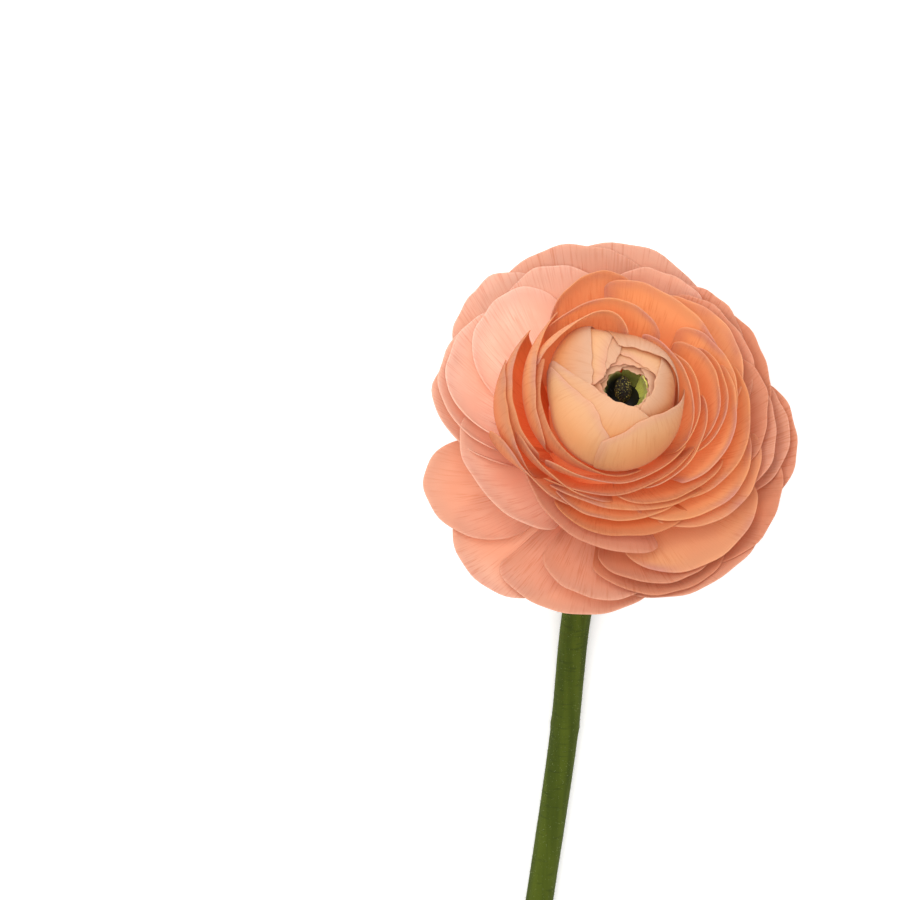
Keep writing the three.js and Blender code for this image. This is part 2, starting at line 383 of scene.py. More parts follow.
def petal_flesh_group():
    """Colour and relief of a petal: deeper at its foot, veined along its length, pinker at its rim."""
    group = bpy.data.node_groups.new("petal_flesh", "ShaderNodeTree")
    for name, kind in (
            ("Foot Color", "NodeSocketColor"), ("Body Color", "NodeSocketColor"),
            ("Tip Color", "NodeSocketColor"), ("Rim Color", "NodeSocketColor"),
            ("Glow Color", "NodeSocketColor"), ("Blush Color", "NodeSocketColor"),
            ("Foot End", "NodeSocketFloat"),
            ("Vein Strength", "NodeSocketFloat"), ("Rim Strength", "NodeSocketFloat"),
            ("Rim Width", "NodeSocketFloat")):
        group.interface.new_socket(name, in_out="INPUT", socket_type=kind)
    for name, kind in (("Color", "NodeSocketColor"), ("Height", "NodeSocketFloat")):
        group.interface.new_socket(name, in_out="OUTPUT", socket_type=kind)
    given = group.nodes.new("NodeGroupInput").outputs
    result = group.nodes.new("NodeGroupOutput").inputs

    along = petal_mark(group, "along")
    tint = petal_mark(group, "tint")
    rim = petal_mark(group, "rim")
    place = add_node(group, "ShaderNodeTexCoord").outputs["Object"]
    cloud = add_node(group, "ShaderNodeTexNoise", Vector=place, Scale=90.0, Detail=2.0).outputs["Fac"]

    past_foot = math_node(group, "DIVIDE", along, given["Foot End"])
    foot_part = smooth_step(group, past_foot, 0.35, 1.0)
    color = mix_color(group, smooth_step(group, along, 0.72, 1.0), given["Body Color"], given["Tip Color"])
    color = mix_color(group, petal_mark(group, "blush"), color, given["Blush Color"])
    color = mix_color(group, foot_part, given["Foot Color"], color)
    # Tint mixes in the pale glow colour in patches; on the outer petals this is mostly painted light
    glow_part = add_node(group, "ShaderNodeMapRange", Value=cloud, From_Min=0.35, From_Max=0.7,
                         To_Min=0.65, To_Max=1.0).outputs[0]
    color = mix_color(group, math_node(group, "MULTIPLY", glow_part, tint), color, given["Glow Color"])

    # Fine veins run along the petal and part and meet a little on the way
    fan = add_node(group, "ShaderNodeCombineXYZ", X=petal_mark(group, "across"), Y=along, Z=tint)
    stretch = {"operation": "MULTIPLY"}
    fan = add_node(group, "ShaderNodeVectorMath", stretch, _0=fan.outputs[0], _1=(2.6, 4.5, 60.0))
    veins = add_node(group, "ShaderNodeTexNoise", Vector=fan.outputs[0], Scale=1.0, Detail=3.5,
                     Roughness=0.6, Distortion=0.35).outputs["Fac"]
    vein_part = math_node(group, "MULTIPLY", smooth_step(group, veins, 0.46, 0.7), given["Vein Strength"])
    vein_part = math_node(group, "MULTIPLY", vein_part, smooth_step(group, cloud, 0.3, 0.6))
    color = mix_color(group, vein_part, color, (0.8, 0.52, 0.38, 1), "MULTIPLY")

    # The rim is faintly lilac on some petals and hardly so on others
    rim_part = smooth_step(group, math_node(group, "DIVIDE", rim, given["Rim Width"]), 1.0, 0.0)
    rim_part = math_node(group, "MULTIPLY", rim_part, smooth_step(group, along, 0.6, 0.85))
    uneven = math_node(group, "ADD", math_node(group, "MULTIPLY", tint, 0.5), cloud)
    rim_part = math_node(group, "MULTIPLY", rim_part, smooth_step(group, uneven, 0.6, 1.0))
    rim_part = math_node(group, "MULTIPLY", rim_part, given["Rim Strength"])
    color = mix_color(group, rim_part, color, given["Rim Color"])

    # Tint also makes the colour a little darker or brighter; on the outer petals this is painted light
    bright = add_node(group, "ShaderNodeMapRange", Value=tint, To_Min=0.9, To_Max=1.04).outputs[0]
    shade = add_node(group, "ShaderNodeHueSaturation", Color=color, Value=bright)
    group.links.new(shade.outputs[0], result["Color"])
    grain = add_node(group, "ShaderNodeTexNoise", Vector=place, Scale=2600.0, Detail=1.0).outputs["Fac"]
    height = math_node(group, "ADD", veins, math_node(group, "MULTIPLY", grain, 0.12))
    group.links.new(height, result["Height"])
    return group


petal_flesh = petal_flesh_group()


def petal_material(
        name, through_part, depth_glow, foot_end, vein_strength, rim_strength, rim_width, **colors):
    """Petal flesh on a thin sheet that lets much of the light through.

    The depth glow stands for the light that has come through many petals before it. It is weaker at
    a petal's rim, and on blushed petals, which the others don't hide.
    """
    material = bpy.data.materials.new(name)
    material.use_nodes = True
    tree = material.node_tree
    shader = tree.nodes["Principled BSDF"]
    flesh = add_node(tree, "ShaderNodeGroup", {"node_tree": petal_flesh}, Foot_End=foot_end,
                     Vein_Strength=vein_strength, Rim_Strength=rim_strength, Rim_Width=rim_width)
    for key, color in colors.items():
        flesh.inputs[key.title() + " Color"].default_value = color
    relief = add_node(
        tree, "ShaderNodeBump", Strength=0.3, Distance=0.18 * MM, Height=flesh.outputs["Height"])
    tree.links.new(flesh.outputs["Color"], shader.inputs["Base Color"])
    tree.links.new(relief.outputs[0], shader.inputs["Normal"])
    shader.inputs["Roughness"].default_value = 0.5
    shader.inputs["Specular IOR Level"].default_value = 0.28
    shader.inputs["Sheen Weight"].default_value = 0.12
    deep = smooth_step(tree, petal_mark(tree, "rim"), 0.5, 6.0)
    hidden = add_node(tree, "ShaderNodeMapRange", Value=petal_mark(tree, "blush"), To_Min=1.0, To_Max=0.3)
    deep = math_node(tree, "MULTIPLY", deep, hidden.outputs[0])
    glow = add_node(tree, "ShaderNodeMapRange", Value=deep, To_Min=0.5 * depth_glow, To_Max=depth_glow)
    glow_color = mix_color(tree, 0.3, flesh.outputs["Color"], colors["foot"])
    tree.links.new(glow_color, shader.inputs["Emission Color"])
    tree.links.new(glow.outputs[0], shader.inputs["Emission Strength"])
    through = add_node(tree, "ShaderNodeBsdfTranslucent", Color=flesh.outputs["Color"])
    blend = add_node(
        tree, "ShaderNodeMixShader", _0=through_part, _1=shader.outputs[0], _2=through.outputs[0])
    tree.links.new(blend.outputs[0], tree.nodes["Material Output"].inputs["Surface"])
    return material


# Each petal: where it points and its half width in degrees, how far it reaches at its first side,
# middle and other side in mm, and how much of that its corners keep
OUTER_PETALS = (
    (86, 34, (41, 43.2, 43.2), 0.85), (227, 27, (41.4, 42.2, 41.6), 0.6), (256, 28, (40, 41.3, 40), 0.82),
    (200, 25, (37.5, 41.2, 35.5), 0.6), (106, 30, (42.5, 43.4, 45.4), 0.82),
    (358, 26, (39.9, 40, 37.6), 0.77), (302, 28, (39, 40.6, 40.6), 0.84),
    (132, 22, (44.5, 44.5, 40.5), 0.75), (330, 26, (39.9, 40, 37.4), 0.8),
    (28, 28, (34, 37.2, 38.4), 0.85), (168, 28, (40, 38.5, 28.5), 0.72), (52, 24, (37, 37.6, 38.5), 0.8),
    (264, 24, (34.5, 38, 38.5), 0.74), (160, 28, (42, 39, 29.5), 0.8), (0, 26, (37.3, 38.2, 36), 0.75),
    (288, 26, (35, 39, 40), 0.78), (154, 30, (40, 38.8, 28), 0.78), (112, 24, (36, 39.6, 39), 0.7),
    (205, 36, (35, 30.8, 28.5), 0.78), (289, 25, (33.5, 37.4, 37), 0.78), (70, 24, (36, 36.8, 33), 0.75),
    (132, 26, (38.5, 38.8, 34), 0.66), (356, 28, (34, 35.6, 34.5), 0.8), (40, 30, (33.5, 35, 34.5), 0.8),
    (8, 28, (33, 34, 33.5), 0.8),
)
OUTER_CORE = ((0, -1.6), (5, -1.6), (9, -2.6), (12, -2.4), (12.5, -0.8), (9, 0.9), (6.5, 2), (0, 2))
# The side towards the light, where the outer petals are painted palest
PALEST = math.radians(146)
# The outermost petals show from behind. With less ruffle they don't come through each other there.
BACK_PETALS = 10
BACK_RUFFLE = 0.08
OUTER_RUFFLE = 0.15
OUTER_ROLL = 0.15
# How much higher than the one before each petal lies where the table holds it up
TABLE_STEP = 0.18


def painted_light_paleness(angle):
    """Painted light on the outer petals, from 0 to 1, palest at the upper left where the light comes from.
    """
    return (0.5 + 0.5 * math.cos(math.radians(angle) - PALEST)) ** 2


def outermost(depth):
    """1 at the first petal of a group, and 0 from a fifth of the way in."""
    return max(0, 1 - 5 * depth)


def outer_ruffle(i):
    if i == 0:
        return 0
    return BACK_RUFFLE if i < BACK_PETALS else OUTER_RUFFLE


# An outer petal's tint is a random tone mixed with painted light, paler and brighter towards the upper left
outer_random = np.random.default_rng(11)
outer_blades = []
for i, (angle, half_width, reaches, end) in enumerate(OUTER_PETALS):
    depth = i / len(OUTER_PETALS)
    outer_blades.append(petal_blade(
        outer_layer, depth, angle, half_width, reaches, end, ruffle=outer_ruffle(i),
        roll=outer_random.uniform(-OUTER_ROLL, OUTER_ROLL), phase=outer_random.uniform(0, 6),
        floor_height=PETAL_THICKNESS / 2 + TABLE_STEP * i,
        tint=mix(outer_random.random(), painted_light_paleness(angle) * mix(0.35, 1.1, depth), 0.8)
        + 0.12 * outermost(depth)))
outer_blades.append(turned_core(OUTER_CORE))
outer_petals = rosette("outer_petal_saucer", outer_blades)
outer_petals.data.materials.append(petal_material(
    "outer_petal_flesh", 0.45, 0.24, foot_end=0.5, vein_strength=0.6, rim_strength=0.25, rim_width=4.0,
    foot=paint(232, 118, 66), body=paint(224, 150, 108), tip=paint(223, 158, 124),
    rim=paint(218, 150, 138), glow=paint(253, 242, 227)))
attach(outer_petals, "root")
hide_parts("outer_petals")

# Middle petals
# Many layers of thin broad petals, cupped round the ball and standing higher towards it. They grow
# from the receptacle inside the outer ones, so close that mostly their rims show.

# How far the first petals and the innermost ones lean out at the rim, in degrees, at even steps of
# the angle
LEAN = (35, 25, 12, 5, -36, 35, 64, 62)
INNER_LEAN = (0, 0, -16, -55, -34, -15, 25, 15)
# How much of the petal's length the lean shapes
CURL = (0.5, 0.5, 0.5, 0.6, 0.8, 0.55, 0.5, 0.5)


def middle_layer(depth, reach, angle, along):
    rise = canopy(reach, angle)
    lean = np.radians(mix(around(LEAN, angle), around(INNER_LEAN, angle), depth))
    root = (5, mix(3.2, 7.4, depth))
    length = mix(around(CURL, angle), 0.5, 0.5 * depth) * np.hypot(reach - root[0], rise - root[1])
    belly = (reach - length * np.sin(lean), rise - length * np.cos(lean))
    return curve_point(root, belly, (reach, rise), along)


# Each petal is given as the outer ones are, and one has five reaches
MIDDLE_PETALS = (
    (250, 40, (22.8, 27, 34), 0.78), (308, 33, (34.5, 37.8, 36.5), 0.72), (40, 30, (29.5, 32.4, 30), 0.82),
    (325, 32, (28.2, 33.2, 33), 0.84), (98, 23, (30.5, 31.2, 26.5), 0.7),
    (58, 34, (28.2, 28.2, 30.6), 0.84), (272, 36, (23.5, 26.8, 28.6), 0.86),
    (218, 32, (23.5, 22.6, 23), 0.8), (320, 36, (23.5, 30.3, 30.5), 0.86),
    (270, 36, (21.8, 23.6, 25.2), 0.86),
    (275, 46, (21.2, 21.4, 27), 0.86), (348, 38, (25.5, 29.2, 29.5), 0.88),
    (25, 28, (27.3, 27.5, 25.5), 0.78), (305, 34, (18.8, 23.5, 27), 0.86),
    (350, 36, (22.5, 26, 27), 0.88), (184, 34, (23.8, 21.9, 21.6), 0.84), (3, 36, (19.8, 24.7, 25), 0.8),
    (12, 36, (20.4, 23.4, 21), 0.8), (92, 36, (19.8, 21.3, 21.5), 0.78), (172, 40, (24.2, 21.3, 18.2), 0.86),
    (230, 40, (19.6, 19.4, 20), 0.86), (280, 56, (20.3, 18.2, 20), 0.86), (330, 40, (18.6, 20.4, 20), 0.86),
    (5, 38, (17.3, 18.8, 17), 0.84), (163, 46, (23, 16.8, 15.6), 0.84), (276, 58, (17.8, 16.1, 18), 0.88),
    (20, 45, (18, 16.6, 15.5), 0.84), (114, 38, (13.8, 17.8, 17.3, 16.8, 15.4), 0.84),
    (222, 74, (15, 14.6, 14.9), 0.9),
)
MIDDLE_PALEST = math.radians(45)
MIDDLE_CORE = (
    (0, 2.3), (7, 2.3), (11, 3.2), (13.6, 6), (14, 9.5), (13, 11.4), (10, 10.8), (6, 8.5), (0, 8.2),
)
middle_random = np.random.default_rng(23)
middle_blades = []
for i, (angle, half_width, reaches, end) in enumerate(MIDDLE_PETALS):
    depth = i / len(MIDDLE_PETALS)
    middle_blades.append(petal_blade(
        middle_layer, depth, angle, half_width, reaches, end, waist=0.55, start=mix(0.15, 0.3, depth),
        ruffle=0.1, roll=middle_random.uniform(-0.2, 0.2), phase=middle_random.uniform(0, 6), floor_height=4,
        tint=0.85 * mix(
            middle_random.random(), 0.5 + 0.5 * math.cos(math.radians(angle) - MIDDLE_PALEST), 0.5),
        blush=outermost(depth)))
middle_blades.append(turned_core(MIDDLE_CORE))
middle_petals = rosette("middle_petal_cup", middle_blades)
middle_petals.data.materials.append(petal_material(
    "middle_petal_flesh", 0.46, 0.46, foot_end=0.75, vein_strength=0.5, rim_strength=0.65, rim_width=4.0,
    foot=paint(226, 98, 40), body=paint(213, 118, 60), tip=paint(212, 142, 98),
    rim=paint(194, 136, 134), glow=paint(236, 194, 138), blush=paint(216, 154, 126)))
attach(middle_petals, "root")
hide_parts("middle_petals")

# Heart petals
# Broad young petals, still wrapped over each other into a ball that is open only at the eye. They
# grow from the receptacle under the ball and curve up round it and over its top.

BALL_RADIUS = 14.2
BALL_HEIGHT = 20.5
EYE_RADIUS = 4.6
# The eye lies off the middle of the ball, towards the right and the stem
EYE_OFFSET = (3.3, -1.6)
BALL_CROWN = 14.5
# The petals start this many degrees from the top of the ball
BALL_FOOT = 164
# How deep the lower half of the ball is, as a part of its radius
BALL_BELLY = 0.7
# How much narrower than the one before each petal lies, and how much of that it is lower at the crown
HEART_STEP = 0.3
CROWN_STEP = 0.6
HEART_THICKNESS = 0.2
# The ball's radius, as a part of BALL_RADIUS, at even steps of the angle
HEART_REACH = (
    1.06, 1.16, 1.24, 1.24, 1.26, 1.42, 1.28, 1.06, 0.94, 0.94, 0.96, 0.98, 1.0, 1.02, 1.03, 1.04,
)


def heart_layer(depth, reach, angle, along):
    sink = HEART_STEP * depth
    radius = BALL_RADIUS * around(HEART_REACH, angle) - sink
    top = np.arcsin(EYE_RADIUS / radius)
    from_top = mix(math.radians(BALL_FOOT), mix(math.pi / 2, top, reach), along)
    stretch = np.where(from_top > math.pi / 2, BALL_BELLY * radius, BALL_CROWN - CROWN_STEP * sink)
    across = radius * np.sin(from_top)
    shift = np.clip(np.cos(from_top), 0, 1) ** 2
    sideways = across * np.cos(angle) + EYE_OFFSET[0] * shift
    downwards = across * np.sin(angle) + EYE_OFFSET[1] * shift
    return sideways, downwards, BALL_HEIGHT + stretch * np.cos(from_top)


# Each petal: where it points and its half width in degrees, and how near it comes to the eye, at
# even steps from its first side to its other side
HEART_PETALS = (
    (315, 62, (0.54, 0.7, 0.7, 0.44, 0.05)), (206, 57, (0.3, 0.75, 0.54)),
    (230, 86, (0.3, 0.9, 0.97, 1.0, 0.6)), (146, 46, (0.15, 0.68, 0.8, 0.84, 0.85)),
    (50, 46, (0.1, 0.45, 0.68, 0.76, 0.84)),
    (130, 46, (0.3, 0.74, 0.9, 0.96, 1.0)), (120, 42, (0.3, 0.86, 0.93, 0.97, 1.0)),
    (350, 54, (1.0, 0.98, 0.94, 0.9, 0.6)), (60, 46, (0.92, 0.93, 0.93, 0.9, 0.86)),
    (285, 54, (1.0, 0.98, 1.0)), (80, 50, (0.98, 0.97, 1.0)), (210, 50, (1.0, 1.0, 1.0)),
    (20, 48, (1.0, 1.02, 0.98)), (120, 48, (1.0, 1.0, 1.02)), (330, 46, (1.0, 1.03, 1.0)),
    (250, 46, (1.0, 1.02, 1.0)), (70, 44, (1.0, 1.04, 1.0)), (170, 44, (1.0, 1.03, 1.0)),
    (290, 44, (1.0, 1.04, 1.0)), (20, 44, (1.0, 1.04, 1.0)),
)
HEART_CORE = ((0, 8.5), (5.4, 8.5), (6.4, 12.5), (8, 16), (8, 20), (7, 24), (6, 25.2), (0, 25.2))
heart_random = np.random.default_rng(37)
heart_blades = []
for i, (angle, half_width, reaches) in enumerate(HEART_PETALS):
    heart_blades.append(petal_blade(
        heart_layer, i, angle, half_width, reaches, 0.93, start=0.05, ruffle=0.04,
        phase=heart_random.uniform(0, 6), floor_height=4, thickness=HEART_THICKNESS,
        tint=heart_random.random()))
heart_blades.append(turned_core(HEART_CORE, (0.5 * EYE_OFFSET[0], 0.5 * EYE_OFFSET[1])))
heart_petals = rosette("heart_petal_ball", heart_blades)
heart_petals.data.materials.append(petal_material(
    "heart_petal_flesh", 0.4, 0.2, foot_end=0.84, vein_strength=0.3, rim_strength=0.5, rim_width=2.6,
    foot=paint(226, 112, 48), body=paint(219, 147, 87), tip=paint(224, 180, 148),
    rim=paint(210, 152, 138), glow=paint(228, 184, 130)))
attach(heart_petals, "root")
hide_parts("heart_petals")

# Eye petals
# Seven small half-grown petals, green and scale-like, round the carpels. Each grows from the top of
# the receptacle and lines the inside of the eye.

EYE_FLOOR = ((0, 25.4), (4.3, 25.5), (4.2, 26.4), (0, 26.4))
EYE_SHIFT = (2.4, -0.7)
EYE_PETALS = 7
EYE_HALF_WIDTH = 27
# Radius and height of a petal at its foot, its bend and its tip
EYE_CURVE = ((2.8, 26.0), (5.0, 27.4), (4.5, 31.6))


def eye_layer(depth, reach, angle, along):
    radius, height = curve_point(*EYE_CURVE, along * reach)
    return radius * np.cos(angle) + EYE_SHIFT[0], radius * np.sin(angle) + EYE_SHIFT[1], height


eye_random = np.random.default_rng(41)
bottom, bottom_faces, bottom_marks = turned_core(EYE_FLOOR, EYE_SHIFT)
# Without a tint the floor of the eye is as dark as the petals' feet
bottom_marks["tint"] = np.zeros(len(bottom))
eye_blades = [(bottom, bottom_faces, bottom_marks)]
for i in range(EYE_PETALS):
    angle = 20 + i * 360 / EYE_PETALS
    reach = 0.72 + 0.24 * math.cos(math.radians(angle - 40)) + 0.05 * eye_random.random()
    eye_blades.append(petal_blade(
        eye_layer, 0, angle, EYE_HALF_WIDTH, (reach, reach, reach), 0.6, waist=0.8, start=0,
        ruffle=0.15, phase=eye_random.uniform(0, 6), floor_height=4, across=14, steps=12, thickness=0.3,
        tint=max(0, math.cos(math.radians(angle)))))
eye_petals = rosette("eye_petal_scales", eye_blades)
eye_petals.data.materials.append(petal_material(
    "eye_petal_flesh", 0.2, 0.0, foot_end=1.15, vein_strength=0.8, rim_strength=0.0, rim_width=0.5,
    foot=paint(14, 11, 5), body=paint(150, 150, 48), tip=paint(226, 220, 140),
    rim=paint(226, 220, 140), glow=paint(206, 208, 96)))
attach(eye_petals, "root")
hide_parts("eye_petals")

# Carpel head
# A dark oval head of many small firm carpels, packed like beads. It is the tip of the receptacle, and
# stands in the middle of the eye.

HEAD_MIDDLE = (2.0, -0.3, 29.2)
HEAD_HALF_SIZES = (1.65, 2.7, 2.4)
# So many beads to a square metre that their spacing alone limits them
MOST_BEADS = 5e7
# The smallest and the largest bead, as parts of the bead radius
BEAD_SIZES = (0.75, 1.2)


def growth_tree(name, inputs):
    """A geometry node tree with a geometry in and out, and the named inputs."""
    tree = bpy.data.node_groups.new(name, "GeometryNodeTree")
    tree.interface.new_socket("Geometry", in_out="INPUT", socket_type="NodeSocketGeometry")
    for key, kind in inputs.items():
        tree.interface.new_socket(key, in_out="INPUT", socket_type="NodeSocket" + kind)
    tree.interface.new_socket("Geometry", in_out="OUTPUT", socket_type="NodeSocketGeometry")
    return tree, tree.nodes.new("NodeGroupInput").outputs, tree.nodes.new("NodeGroupOutput").inputs


def grown_piece(name, source, tree, **settings):
    """Runs the tree on the source object and keeps what grew as a plain mesh."""
    modifier = source.modifiers.new("growth", "NODES")
    modifier.node_group = tree
    for item in tree.interface.items_tree:
        key = item.name.replace(" ", "_")
        if item.in_out == "INPUT" and key in settings:
            modifier[item.identifier] = settings[key]
    grown = source.evaluated_get(bpy.context.evaluated_depsgraph_get())
    mesh = bpy.data.meshes.new_from_object(grown)
    bpy.data.objects.remove(source)
    piece = bpy.data.objects.new(name, mesh)
    bpy.context.scene.collection.objects.link(piece)
    return piece


def joined(tree, *parts):
    join = tree.nodes.new("GeometryNodeJoinGeometry")
    for part in parts:
        tree.links.new(part, join.inputs[0])
    return join.outputs[0]


def bead_tree():
    tree, given, result = growth_tree("packed_beads", {
        "Bead Radius": "Float", "Bead Spacing": "Float", "Seed": "Int", "Skin": "Material"})
    scatter = add_node(tree, "GeometryNodeDistributePointsOnFaces", {"distribute_method": "POISSON"},
                       Mesh=given["Geometry"], Distance_Min=given["Bead Spacing"], Seed=given["Seed"])
    scatter.inputs["Density Max"].default_value = MOST_BEADS
    bead = add_node(tree, "GeometryNodeMeshIcoSphere", Radius=given["Bead Radius"], Subdivisions=2)
    # sockets 2 and 3 of a random number are its least and its largest value
    size = add_node(tree, "FunctionNodeRandomValue", Seed=given["Seed"])
    size.inputs[2].default_value = BEAD_SIZES[0]
    size.inputs[3].default_value = BEAD_SIZES[1]
    beads = add_node(tree, "GeometryNodeInstanceOnPoints", Points=scatter.outputs["Points"],
                     Instance=bead.outputs["Mesh"], Rotation=scatter.outputs["Rotation"],
                     Scale=size.outputs[1])
    solid = add_node(tree, "GeometryNodeRealizeInstances", Geometry=beads.outputs[0])
    whole = joined(tree, given["Geometry"], solid.outputs[0])
    smooth = add_node(tree, "GeometryNodeSetShadeSmooth", Geometry=whole)
    skinned = add_node(tree, "GeometryNodeSetMaterial", Geometry=smooth.outputs[0], Material=given["Skin"])
    tree.links.new(skinned.outputs[0], result["Geometry"])
    return tree


def head_core():
    """The oval the carpels sit on."""
    mesh = bpy.data.meshes.new("head_core")
    ball = bmesh.new()
    bmesh.ops.create_icosphere(ball, subdivisions=3, radius=1)
    for corner in ball.verts:
        sizes = [part * half for part, half in zip(corner.co, HEAD_HALF_SIZES)]
        off = [middle + size for middle, size in zip(HEAD_MIDDLE, sizes)]
        corner.co = Vector((BASE + off[0] * SIDE + off[1] * DOWN + off[2] * AXIS) * MM)
    ball.to_mesh(mesh)
    ball.free()
    core = bpy.data.objects.new("head_core", mesh)
    bpy.context.scene.collection.objects.link(core)
    return core


def carpel_material():
    material = bpy.data.materials.new("carpel_skin")
    material.use_nodes = True
    tree = material.node_tree
    shader = tree.nodes["Principled BSDF"]
    place = add_node(tree, "ShaderNodeTexCoord").outputs["Object"]
    patch = add_node(tree, "ShaderNodeTexNoise", Vector=place, Scale=420.0, Detail=2.0).outputs["Fac"]
    speck = add_node(tree, "ShaderNodeTexNoise", Vector=place, Scale=2400.0, Detail=1.0).outputs["Fac"]
    color = mix_color(tree, smooth_step(tree, patch, 0.38, 0.66), paint(16, 11, 8), paint(56, 46, 18))
    speck_part = math_node(tree, "MULTIPLY", smooth_step(tree, speck, 0.6, 0.72), patch)
    color = mix_color(tree, speck_part, color, paint(206, 190, 90))
    relief = add_node(tree, "ShaderNodeBump", Strength=0.5, Distance=0.1 * MM, Height=speck)
    tree.links.new(color, shader.inputs["Base Color"])
    tree.links.new(relief.outputs[0], shader.inputs["Normal"])
    shader.inputs["Roughness"].default_value = 0.5
    shader.inputs["Specular IOR Level"].default_value = 0.2
    return material


carpel_head = grown_piece(
    "carpel_bead_head", head_core(), bead_tree(), Bead_Radius=0.22 * MM, Bead_Spacing=0.3 * MM, Seed=5,
    Skin=carpel_material())
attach(carpel_head, "root")
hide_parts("carpel_head")

# Stem
# A leafless juicy stalk with short pale down, cut square at its foot. It grows into the base of the
# bloom, bends under the bloom's weight and lies on the table from there on.

STEM_RADIUS = 3.2
STEM_TOP = 3.7
STEM_STEPS = 16
# How much thicker the stem is at its top, by a short swelling and a long taper, and how fast each
# fades along it
NECK_SWELL = 0.25
NECK_TAPER = 0.2
SWELL_FADE = 60
TAPER_FADE = 5
RING_SWELL = 0.05
RING_PLACE = 0.52
RING_WIDTH = 0.008
# How far a hair leans and turns at most, in radians, and the shortest and the longest hair, as parts
# of the hair length
HAIR_LEAN = 0.7
HAIR_TURN = 3
HAIR_SIZES = (0.5, 1.3)


def axis_point(height):
    return tuple(BASE + height * AXIS)


STEM_ROUTE = (
    axis_point(-STEM_TOP), axis_point(-STEM_TOP - 6), (-0.5, -50, 9.4), (-2.7, -64, 4.6),
    (-5.5, -79, STEM_RADIUS), (-8, -110, STEM_RADIUS), (-12, -145, STEM_RADIUS),
    (-16.4, -180, STEM_RADIUS),
)


def smooth_route(points, per_span):
    """A smooth line through all the points, which makes no loop at the short spans."""
    points = np.array(points, dtype=float)
    points = np.vstack([2 * points[0] - points[1], points, 2 * points[-1] - points[-2]])
    knots = np.concatenate([[0], np.cumsum(np.linalg.norm(np.diff(points, axis=0), axis=1) ** 0.5)])
    route = []
    for i in range(1, len(points) - 2):
        t = np.linspace(knots[i], knots[i + 1], per_span, endpoint=False)[:, None]
        row = list(points[i - 1:i + 3])
        for level in (1, 2):
            for j in range(4 - level):
                start, stop = knots[i - 1 + j], knots[i - 1 + j + level]
                row[j] = ((stop - t) * row[j] + (t - start) * row[j + 1]) / (stop - start)
        start, stop = knots[i], knots[i + 1]
        route.append(((stop - t) * row[0] + (t - start) * row[1]) / (stop - start))
    return np.vstack(route + [points[-2][None]])


def down_tree():
    """Short tapering hairs on a skin, each leaning its own way."""
    tree, given, result = growth_tree("down", {
        "Hair Length": "Float", "Hair Radius": "Float", "Hairs per Area": "Float", "Seed": "Int",
        "Skin": "Material", "Down": "Material"})
    scatter = add_node(tree, "GeometryNodeDistributePointsOnFaces", Mesh=given["Geometry"],
                       Density=given["Hairs per Area"], Seed=given["Seed"])
    lean = add_node(tree, "FunctionNodeRandomValue", {"data_type": "FLOAT_VECTOR"}, Seed=given["Seed"])
    lean.inputs[0].default_value = (-HAIR_LEAN, -HAIR_LEAN, 0)
    lean.inputs[1].default_value = (HAIR_LEAN, HAIR_LEAN, HAIR_TURN)
    turned = add_node(tree, "FunctionNodeRotateRotation", {"rotation_space": "LOCAL"},
                      Rotation=scatter.outputs["Rotation"], Rotate_By=lean.outputs[0])
    hair = add_node(tree, "GeometryNodeMeshCone", {"fill_type": "NONE"}, Vertices=3,
                    Radius_Bottom=given["Hair Radius"], Depth=given["Hair Length"])
    hair.inputs["Radius Top"].default_value = 0
    size = add_node(tree, "FunctionNodeRandomValue", Seed=given["Seed"])
    size.inputs[2].default_value = HAIR_SIZES[0]
    size.inputs[3].default_value = HAIR_SIZES[1]
    hairs = add_node(tree, "GeometryNodeInstanceOnPoints", Points=scatter.outputs["Points"],
                     Instance=hair.outputs["Mesh"], Rotation=turned.outputs[0], Scale=size.outputs[1])
    solid = add_node(tree, "GeometryNodeRealizeInstances", Geometry=hairs.outputs[0])
    downy = add_node(tree, "GeometryNodeSetMaterial", Geometry=solid.outputs[0], Material=given["Down"])
    skin = add_node(tree, "GeometryNodeSetMaterial", Geometry=given["Geometry"], Material=given["Skin"])
    tree.links.new(joined(tree, skin.outputs[0], downy.outputs[0]), result["Geometry"])
    return tree


down = down_tree()


def stalk_tree():
    """A round stalk swept along a line of points that carry its radius, with down on it."""
    tree, given, result = growth_tree("downy_stalk", {
        "Sides": "Int", "Bumps": "Float", "Hair Length": "Float", "Hair Radius": "Float",
        "Hairs per Area": "Float", "Seed": "Int", "Skin": "Material", "Down": "Material"})
    line = add_node(tree, "GeometryNodeMeshToCurve", Mesh=given["Geometry"])
    width = add_node(tree, "GeometryNodeInputNamedAttribute", Name="stem_radius")
    ring = add_node(tree, "GeometryNodeCurvePrimitiveCircle", Resolution=given["Sides"], Radius=1.0)
    body = add_node(tree, "GeometryNodeCurveToMesh", Curve=line.outputs[0], Profile_Curve=ring.outputs[0],
                    Scale=width.outputs[0], Fill_Caps=True)
    rough = add_node(tree, "ShaderNodeTexNoise", Scale=260.0, Detail=2.0)
    rise = math_node(tree, "SUBTRACT", rough.outputs["Fac"], 0.5)
    rise = math_node(tree, "MULTIPLY", rise, given["Bumps"])
    normal = add_node(tree, "GeometryNodeInputNormal").outputs[0]
    out = add_node(tree, "ShaderNodeVectorMath", {"operation": "SCALE"}, _0=normal, Scale=rise)
    body = add_node(tree, "GeometryNodeSetPosition", Geometry=body.outputs[0], Offset=out.outputs[0])
    body = add_node(tree, "GeometryNodeSetShadeSmooth", Geometry=body.outputs[0])
    covered = add_node(tree, "GeometryNodeGroup", {"node_tree": down}, Geometry=body.outputs[0])
    for key in ("Hair Length", "Hair Radius", "Hairs per Area", "Seed", "Skin", "Down"):
        tree.links.new(given[key], covered.inputs[key])
    tree.links.new(covered.outputs[0], result["Geometry"])
    return tree


